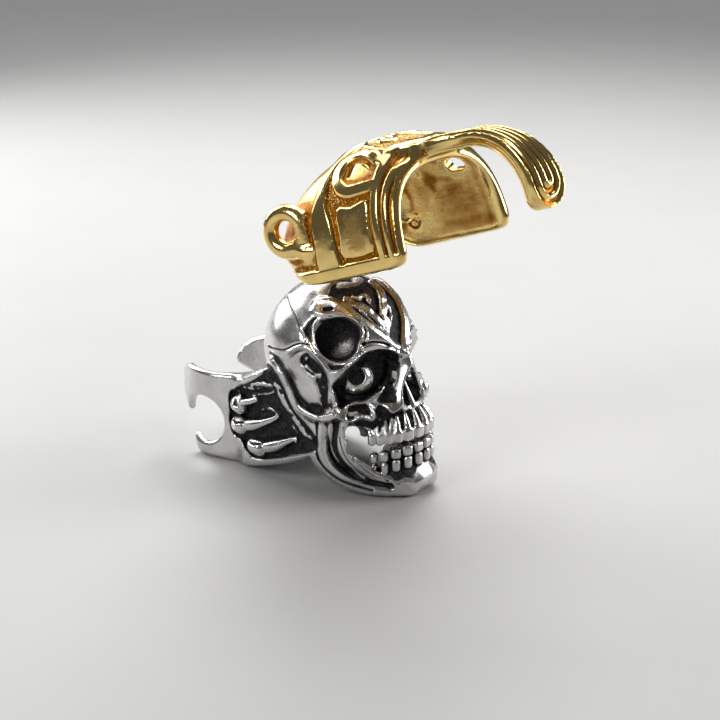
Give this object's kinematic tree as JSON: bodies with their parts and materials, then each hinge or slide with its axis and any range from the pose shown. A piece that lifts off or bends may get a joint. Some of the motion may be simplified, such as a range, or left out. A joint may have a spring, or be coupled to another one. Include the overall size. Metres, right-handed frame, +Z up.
{
  "type": "skull finger ring with lift-off helmet",
  "caption": "Silver skull finger ring with an open band and eye-shaped cut-outs, and a separate gold antique helmet that lifts off the skull.",
  "frame": {"origin": "on the finger hole's axis at the lower edge of the band, which is the surface the ring rests on", "axes": "+Z up along the finger hole's axis, +X the way the skull's face looks, +Y towards the skull's left side"},
  "size_m": [0.0684, 0.0314, 0.0615],
  "materials": {
    "silver": "polished high points, black oxidised recesses",
    "gold": "polished, dark pitted recesses"
  },
  "bodies": {
    "ring": {"skull_ring": "silver"},
    "helmet": {"helmet": "gold"}
  },
  "joints": [
    {"name": "helmet_lift", "type": "slide", "parent": "ring", "child": "helmet", "axis": [0.4289, 0, 0.9033], "range_m": [-0.0195, 0]}
  ]
}
